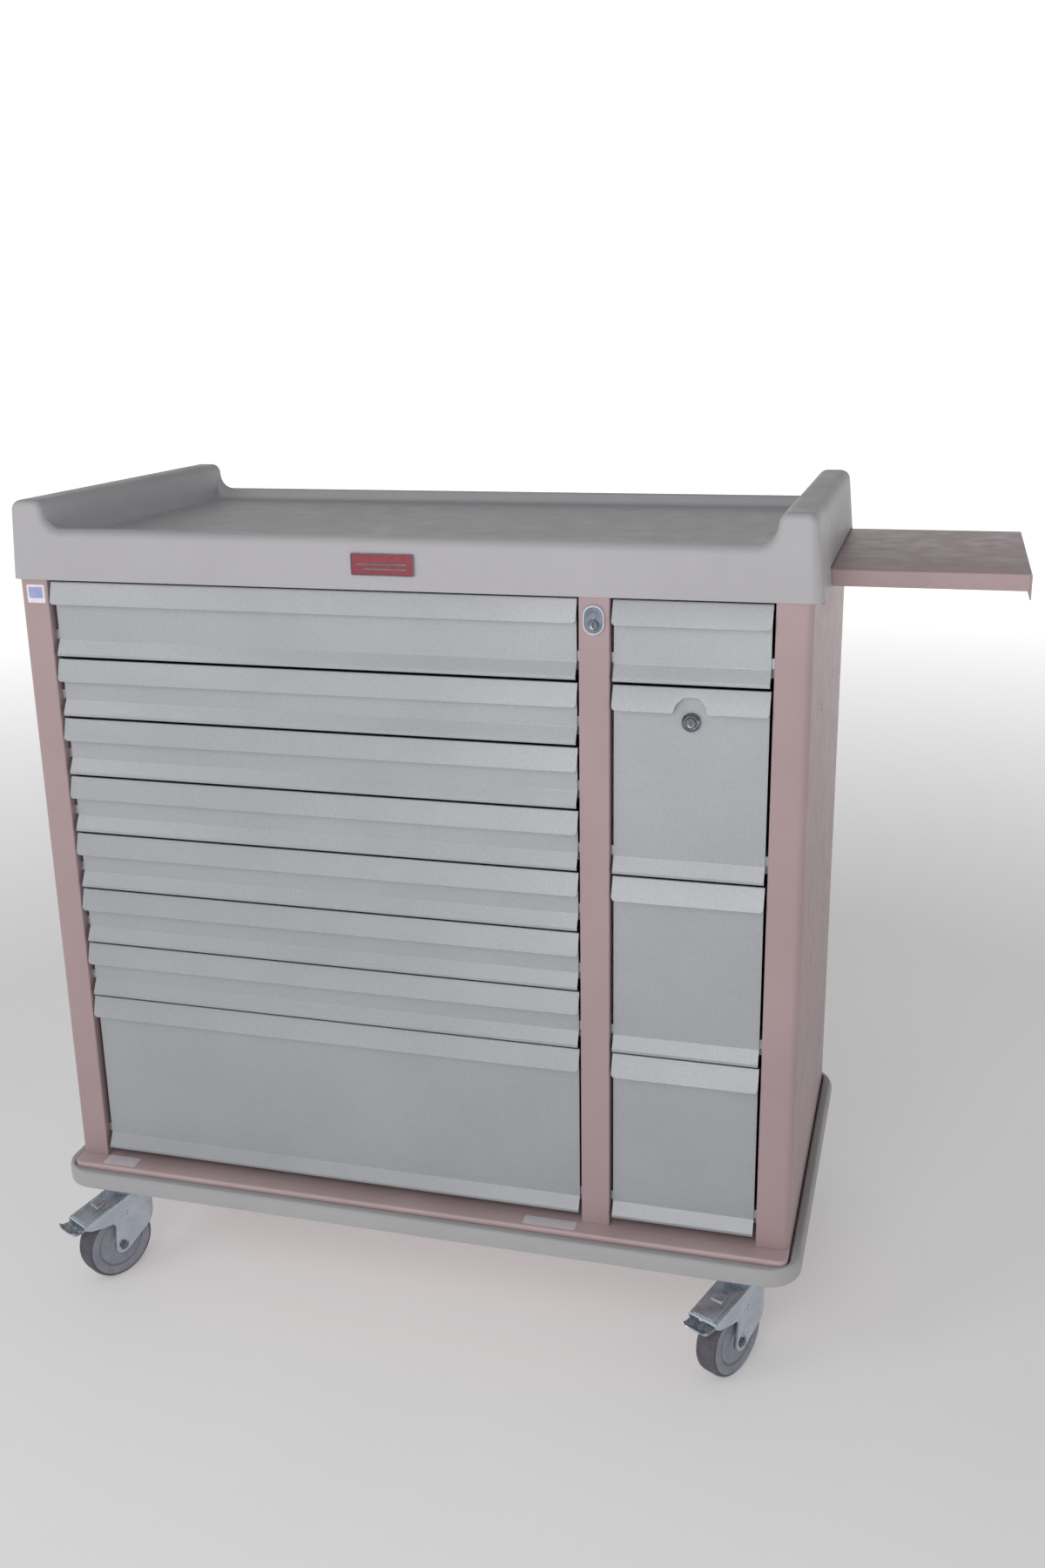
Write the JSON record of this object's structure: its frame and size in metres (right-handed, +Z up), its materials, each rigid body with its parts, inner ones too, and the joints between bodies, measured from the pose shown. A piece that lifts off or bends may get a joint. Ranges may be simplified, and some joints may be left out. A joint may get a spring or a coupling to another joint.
{
  "type": "instrument cart",
  "caption": "Wheeled instrument cart with two columns of drawers, a railed worktop, a pull-out side shelf, key locks, a bumper and swivel casters.",
  "frame": {"origin": "middle of the whole cart's box at floor level, with the side shelf pulled out", "axes": "+X to the right seen from the drawers, along the side shelf; +Y from the drawer fronts to the back; +Z up"},
  "size_m": [1.23, 0.5806, 1.092],
  "materials": {
    "rose_paint": "satin powder coat",
    "silver_coat": "fine metallic powder coat",
    "grey_moulding": "fine moulded grain",
    "bumper_plastic": "satin",
    "galvanised": "galvanised sheet",
    "zinc_plate": "bright zinc plate",
    "wheel_rubber": "grey rubber",
    "clear_trim": "milky clear",
    "red_enamel": "gloss"
  },
  "bodies": {
    "cabinet": {"worktop": "grey_moulding", "left_side_panel": "rose_paint", "right_side_panel": "rose_paint", "back_panel": "rose_paint", "roof_panel": "galvanised", "centre_post": "rose_paint", "partition": "galvanised", "left_outer_rack": "galvanised", "left_inner_rack": "galvanised", "right_inner_rack": "galvanised", "right_outer_rack": "galvanised", "floor_pan": "rose_paint", "bumper": "bumper_plastic", "main_lock_housing": "clear_trim", "shelf_runner_front": "galvanised", "shelf_runner_back": "galvanised", "nameplate": "red_enamel", "front_left_caster_plate": "zinc_plate", "front_right_caster_plate": "zinc_plate", "rear_left_caster_plate": "zinc_plate", "rear_right_caster_plate": "zinc_plate"},
    "side_shelf": {"side_shelf": "rose_paint"},
    "main_lock_plug": {"main_lock_plug": "zinc_plate"},
    "lock_bar": {"lock_bar": "galvanised"},
    "left_drawer_1": {"left_drawer_1_front": "silver_coat", "left_drawer_1_box": "galvanised"},
    "left_drawer_2": {"left_drawer_2_front": "silver_coat", "left_drawer_2_box": "galvanised"},
    "left_drawer_3": {"left_drawer_3_front": "silver_coat", "left_drawer_3_box": "galvanised"},
    "left_drawer_4": {"left_drawer_4_front": "silver_coat", "left_drawer_4_box": "galvanised"},
    "left_drawer_5": {"left_drawer_5_front": "silver_coat", "left_drawer_5_box": "galvanised"},
    "left_drawer_6": {"left_drawer_6_front": "silver_coat", "left_drawer_6_box": "galvanised"},
    "left_drawer_7": {"left_drawer_7_front": "silver_coat", "left_drawer_7_box": "galvanised"},
    "left_drawer_8": {"left_drawer_8_front": "silver_coat", "left_drawer_8_box": "galvanised"},
    "right_drawer_1": {"right_drawer_1_front": "silver_coat", "right_drawer_1_box": "galvanised"},
    "right_drawer_2": {"right_drawer_2_front": "silver_coat", "right_drawer_2_box": "galvanised", "controlled_lock_housing": "zinc_plate"},
    "right_drawer_3": {"right_drawer_3_front": "silver_coat", "right_drawer_3_box": "galvanised"},
    "right_drawer_4": {"right_drawer_4_front": "silver_coat", "right_drawer_4_box": "galvanised"},
    "controlled_lock_plug": {"controlled_lock_plug": "zinc_plate"},
    "front_left_caster": {"front_left_fork": "zinc_plate"},
    "front_left_wheel": {"front_left_wheel": "wheel_rubber"},
    "front_left_brake_pedal": {"front_left_brake_pedal": "zinc_plate"},
    "front_right_caster": {"front_right_fork": "zinc_plate"},
    "front_right_wheel": {"front_right_wheel": "wheel_rubber"},
    "front_right_brake_pedal": {"front_right_brake_pedal": "zinc_plate"},
    "rear_left_caster": {"rear_left_fork": "zinc_plate"},
    "rear_left_wheel": {"rear_left_wheel": "wheel_rubber"},
    "rear_right_caster": {"rear_right_fork": "zinc_plate"},
    "rear_right_wheel": {"rear_right_wheel": "wheel_rubber"}
  },
  "joints": [
    {"name": "side_shelf_slide", "type": "slide", "parent": "cabinet", "child": "side_shelf", "axis": [-1, 0, 0], "range_m": [0, 0.21]},
    {"name": "main_lock_turn", "type": "hinge", "parent": "cabinet", "child": "main_lock_plug", "pos_m": [0.141, -0.21627, 0.9628], "axis": [0, 1, 0], "range_deg": [0, 90]},
    {"name": "lock_bar_lift", "type": "slide", "parent": "cabinet", "child": "lock_bar", "axis": [0, 0, 1], "range_m": [0, 0.0121]},
    {"name": "left_drawer_1_slide", "type": "slide", "parent": "cabinet", "child": "left_drawer_1", "axis": [0, -1, 0], "range_m": [0, 0.38]},
    {"name": "left_drawer_2_slide", "type": "slide", "parent": "cabinet", "child": "left_drawer_2", "axis": [0, -1, 0], "range_m": [0, 0.38]},
    {"name": "left_drawer_3_slide", "type": "slide", "parent": "cabinet", "child": "left_drawer_3", "axis": [0, -1, 0], "range_m": [0, 0.38]},
    {"name": "left_drawer_4_slide", "type": "slide", "parent": "cabinet", "child": "left_drawer_4", "axis": [0, -1, 0], "range_m": [0, 0.38]},
    {"name": "left_drawer_5_slide", "type": "slide", "parent": "cabinet", "child": "left_drawer_5", "axis": [0, -1, 0], "range_m": [0, 0.38]},
    {"name": "left_drawer_6_slide", "type": "slide", "parent": "cabinet", "child": "left_drawer_6", "axis": [0, -1, 0], "range_m": [0, 0.38]},
    {"name": "left_drawer_7_slide", "type": "slide", "parent": "cabinet", "child": "left_drawer_7", "axis": [0, -1, 0], "range_m": [0, 0.38]},
    {"name": "left_drawer_8_slide", "type": "slide", "parent": "cabinet", "child": "left_drawer_8", "axis": [0, -1, 0], "range_m": [0, 0.38]},
    {"name": "right_drawer_1_slide", "type": "slide", "parent": "cabinet", "child": "right_drawer_1", "axis": [0, -1, 0], "range_m": [0, 0.38]},
    {"name": "right_drawer_2_slide", "type": "slide", "parent": "cabinet", "child": "right_drawer_2", "axis": [0, -1, 0], "range_m": [0, 0.38]},
    {"name": "right_drawer_3_slide", "type": "slide", "parent": "cabinet", "child": "right_drawer_3", "axis": [0, -1, 0], "range_m": [0, 0.38]},
    {"name": "right_drawer_4_slide", "type": "slide", "parent": "cabinet", "child": "right_drawer_4", "axis": [0, -1, 0], "range_m": [0, 0.38]},
    {"name": "controlled_lock_turn", "type": "hinge", "parent": "right_drawer_2", "child": "controlled_lock_plug", "pos_m": [0.2533, -0.21627, 0.8535], "axis": [0, 1, 0], "range_deg": [0, 90]},
    {"name": "front_left_swivel", "type": "hinge", "parent": "cabinet", "child": "front_left_caster", "pos_m": [-0.543, -0.18427, 0.11], "axis": [0, 0, 1], "continuous": true},
    {"name": "front_left_wheel_spin", "type": "hinge", "parent": "front_left_caster", "child": "front_left_wheel", "pos_m": [-0.56037, -0.21694, 0.051], "axis": [0.8829, -0.4695, 0], "continuous": true},
    {"name": "front_left_brake_press", "type": "hinge", "parent": "front_left_caster", "child": "front_left_brake_pedal", "pos_m": [-0.57492, -0.24431, 0.103], "axis": [0.8829, -0.4695, 0], "range_deg": [0, 10]},
    {"name": "front_right_swivel", "type": "hinge", "parent": "cabinet", "child": "front_right_caster", "pos_m": [0.332, -0.18427, 0.11], "axis": [0, 0, 1], "continuous": true},
    {"name": "front_right_wheel_spin", "type": "hinge", "parent": "front_right_caster", "child": "front_right_wheel", "pos_m": [0.31463, -0.21694, 0.051], "axis": [0.8829, -0.4695, 0], "continuous": true},
    {"name": "front_right_brake_press", "type": "hinge", "parent": "front_right_caster", "child": "front_right_brake_pedal", "pos_m": [0.30008, -0.24431, 0.103], "axis": [0.8829, -0.4695, 0], "range_deg": [0, 10]},
    {"name": "rear_left_swivel", "type": "hinge", "parent": "cabinet", "child": "rear_left_caster", "pos_m": [-0.543, 0.21773, 0.11], "axis": [0, 0, 1], "continuous": true},
    {"name": "rear_left_wheel_spin", "type": "hinge", "parent": "rear_left_caster", "child": "rear_left_wheel", "pos_m": [-0.56037, 0.18506, 0.051], "axis": [0.8829, -0.4695, 0], "continuous": true},
    {"name": "rear_right_swivel", "type": "hinge", "parent": "cabinet", "child": "rear_right_caster", "pos_m": [0.332, 0.21773, 0.11], "axis": [0, 0, 1], "continuous": true},
    {"name": "rear_right_wheel_spin", "type": "hinge", "parent": "rear_right_caster", "child": "rear_right_wheel", "pos_m": [0.31463, 0.18506, 0.051], "axis": [0.8829, -0.4695, 0], "continuous": true}
  ],
  "couplings": [
    {"joint": "main_lock_turn", "follows": "lock_bar_lift", "rad_per_m": 129.8}
  ]
}
